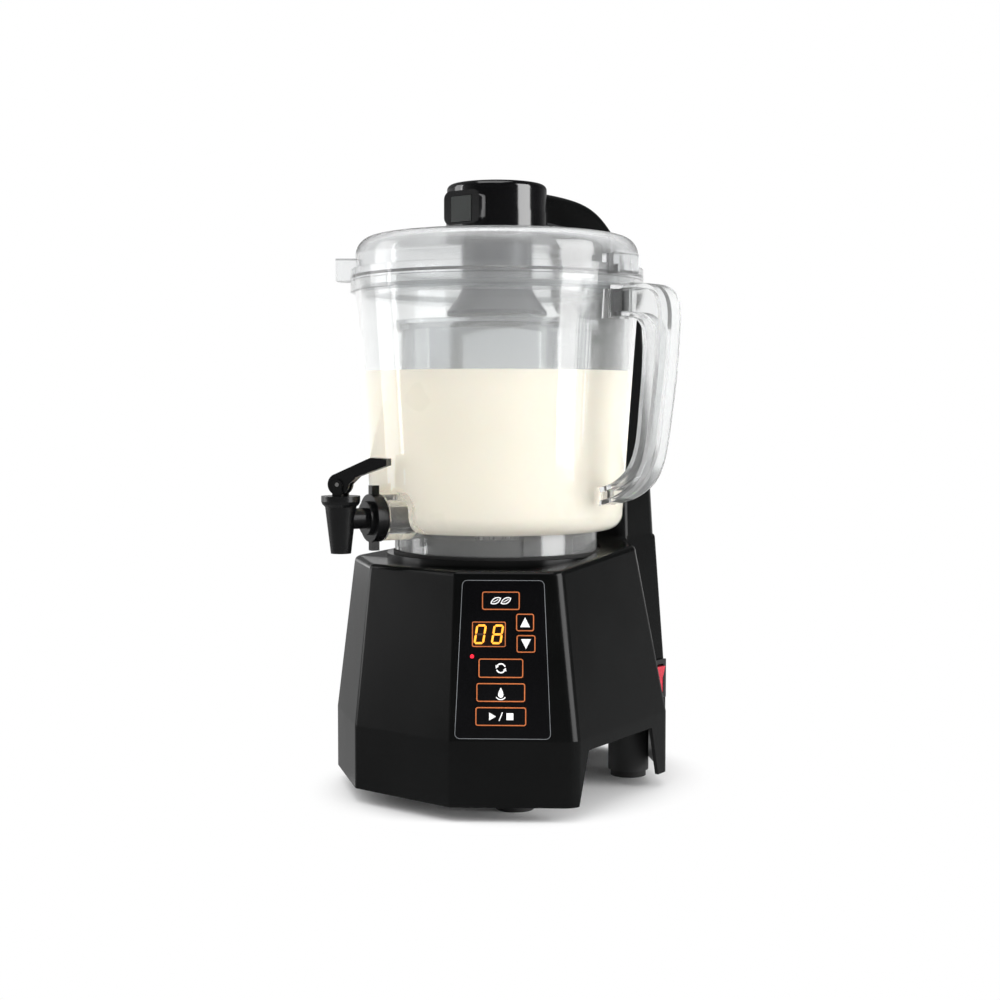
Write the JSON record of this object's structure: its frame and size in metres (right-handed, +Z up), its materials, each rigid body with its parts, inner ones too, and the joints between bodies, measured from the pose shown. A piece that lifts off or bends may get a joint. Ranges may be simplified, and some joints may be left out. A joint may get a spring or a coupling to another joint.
{
  "type": "nut butter grinder",
  "caption": "Countertop nut butter and nut milk grinder: black tapered motor base with key panel, clear bowl with handle and spigot, and a driven wiper in the lid.",
  "frame": {"origin": "where the bowl's vertical axis meets the table plane", "axes": "+Z up, +X towards the bowl handle, +Y towards the rear column, -Y towards the front facet; the key panel faces between +X and -Y"},
  "size_m": [0.2738, 0.3095, 0.46],
  "materials": {
    "shell_black": "high gloss black",
    "cover_dark": "fine matt black",
    "rubber_black": "soft matt",
    "steel": "bright",
    "panel_black": "gloss film",
    "key_black": "gloss film with copper outlines and white symbols",
    "display_dark": "dark window with lit amber figures",
    "led_red": "lit red lens",
    "board_green": "board",
    "rocker_red": "translucent red",
    "pin_brass": "plain",
    "lamination": "stacked sheet",
    "cast_alloy": "as cast",
    "clear_bowl": "water-clear moulding",
    "clear_handle": "water-clear moulding",
    "clear_basket": "slightly grey clear moulding",
    "clear_lid": "water-clear moulding",
    "gasket_clear": "translucent",
    "hub_grey": "smoke grey",
    "paddle_grey": "translucent grey",
    "frame_black": "black paint",
    "arm_charcoal": "satin charcoal",
    "button_charcoal": "satin",
    "spigot_black": "satin black"
  },
  "bodies": {
    "machine": {"base_shell": "shell_black", "base_bottom_cover": "cover_dark", "rubber_feet": "rubber_black", "cover_screws": "steel", "control_fascia": "panel_black", "display_module": "display_dark", "status_led": "led_red", "control_board": "board_green", "rocker_frame": "cover_dark", "mains_inlet": "cover_dark", "inlet_pins": "pin_brass", "power_board": "board_green", "motor_stator": "lamination", "motor_bells": "cast_alloy", "motor_bearings": "steel", "motor_hanger": "steel", "bowl_seat_ring": "rubber_black", "mixing_bowl": "clear_bowl", "bowl_handle": "clear_handle", "shaft_seal": "rubber_black", "filter_basket": "clear_basket", "filter_mesh": "steel", "column_front_cover": "shell_black", "column_rear_cover": "shell_black", "column_frame": "frame_black", "hinge_pin": "steel", "spigot_body": "spigot_black", "spigot_nut": "spigot_black", "spigot_gasket": "rubber_black", "lever_pin": "steel"},
    "spindle": {"motor_rotor": "steel", "cooling_fan": "cover_dark", "drive_coupling": "cover_dark", "bowl_shaft": "steel", "blade_hub": "cover_dark", "blades": "steel"},
    "arm": {"arm_upper_cover": "shell_black", "arm_lower_cover": "arm_charcoal", "arm_frame": "frame_black", "head_body": "shell_black", "head_cap": "shell_black", "button_bezel": "shell_black", "wiper_gearmotor": "cast_alloy"},
    "button": {"latch_button": "button_charcoal"},
    "dog": {"wiper_dog": "steel"},
    "lid_group": {"lid": "clear_lid", "lid_gasket": "gasket_clear", "lid_bushing": "hub_grey"},
    "wiper": {"wiper_hub": "hub_grey", "wiper_paddles": "paddle_grey"},
    "lever": {"spigot_lever": "spigot_black"},
    "stem": {"spigot_stem": "spigot_black"},
    "rocker": {"power_rocker": "rocker_red"},
    "k_butter": {"key_butter": "key_black"},
    "k_up": {"key_up": "key_black"},
    "k_down": {"key_down": "key_black"},
    "k_mix": {"key_mix": "key_black"},
    "k_dispense": {"key_dispense": "key_black"},
    "k_start_stop": {"key_start_stop": "key_black"}
  },
  "joints": [
    {"name": "drive_spin", "type": "hinge", "parent": "machine", "child": "spindle", "pos_m": [0, 0, 0.1], "axis": [0, 0, 1], "continuous": true},
    {"name": "arm_lift", "type": "hinge", "parent": "machine", "child": "arm", "pos_m": [0, 0.133, 0.386], "axis": [-1, 0, 0], "range_deg": [0, 75]},
    {"name": "latch_press", "type": "slide", "parent": "arm", "child": "button", "axis": [0, 1, 0], "range_m": [0, 0.0025], "stiffness_N_per_m": 500},
    {"name": "dog_spin", "type": "hinge", "parent": "arm", "child": "dog", "pos_m": [0, 0, 0.43], "axis": [0, 0, 1], "continuous": true},
    {"name": "lid_twist", "type": "hinge", "parent": "machine", "child": "lid_group", "pos_m": [0, 0, 0.39], "axis": [0, 0, 1], "range_deg": [0, 14]},
    {"name": "wiper_spin", "type": "hinge", "parent": "lid_group", "child": "wiper", "pos_m": [0, 0, 0.39], "axis": [0, 0, 1], "continuous": true},
    {"name": "lever_lift", "type": "hinge", "parent": "machine", "child": "lever", "pos_m": [-0.0487, -0.12053, 0.2365], "axis": [0.4067, -0.9135, 0], "range_deg": [0, 60], "stiffness_Nm_per_rad": 0.02},
    {"name": "stem_lift", "type": "slide", "parent": "machine", "child": "stem", "axis": [0, 0, 1], "range_m": [0, 0.005]},
    {"name": "power_rock", "type": "hinge", "parent": "machine", "child": "rocker", "pos_m": [0.04295, 0.157, 0.067], "axis": [0, -1, 0], "range_deg": [0, 14]},
    {"name": "press_butter", "type": "slide", "parent": "machine", "child": "k_butter", "axis": [-0.5915, 0.7994, -0.1055], "range_m": [0, 0.0005], "stiffness_N_per_m": 1200},
    {"name": "press_up", "type": "slide", "parent": "machine", "child": "k_up", "axis": [-0.5915, 0.7994, -0.1055], "range_m": [0, 0.0005], "stiffness_N_per_m": 1200},
    {"name": "press_down", "type": "slide", "parent": "machine", "child": "k_down", "axis": [-0.5915, 0.7994, -0.1055], "range_m": [0, 0.0005], "stiffness_N_per_m": 1200},
    {"name": "press_mix", "type": "slide", "parent": "machine", "child": "k_mix", "axis": [-0.5915, 0.7994, -0.1055], "range_m": [0, 0.0005], "stiffness_N_per_m": 1200},
    {"name": "press_dispense", "type": "slide", "parent": "machine", "child": "k_dispense", "axis": [-0.5915, 0.7994, -0.1055], "range_m": [0, 0.0005], "stiffness_N_per_m": 1200},
    {"name": "press_start_stop", "type": "slide", "parent": "machine", "child": "k_start_stop", "axis": [-0.5915, 0.7994, -0.1055], "range_m": [0, 0.0005], "stiffness_N_per_m": 1200}
  ],
  "couplings": [
    {"joint": "dog_spin", "follows": "wiper_spin", "ratio": 1},
    {"joint": "lever_lift", "follows": "stem_lift", "rad_per_m": 208.33}
  ]
}
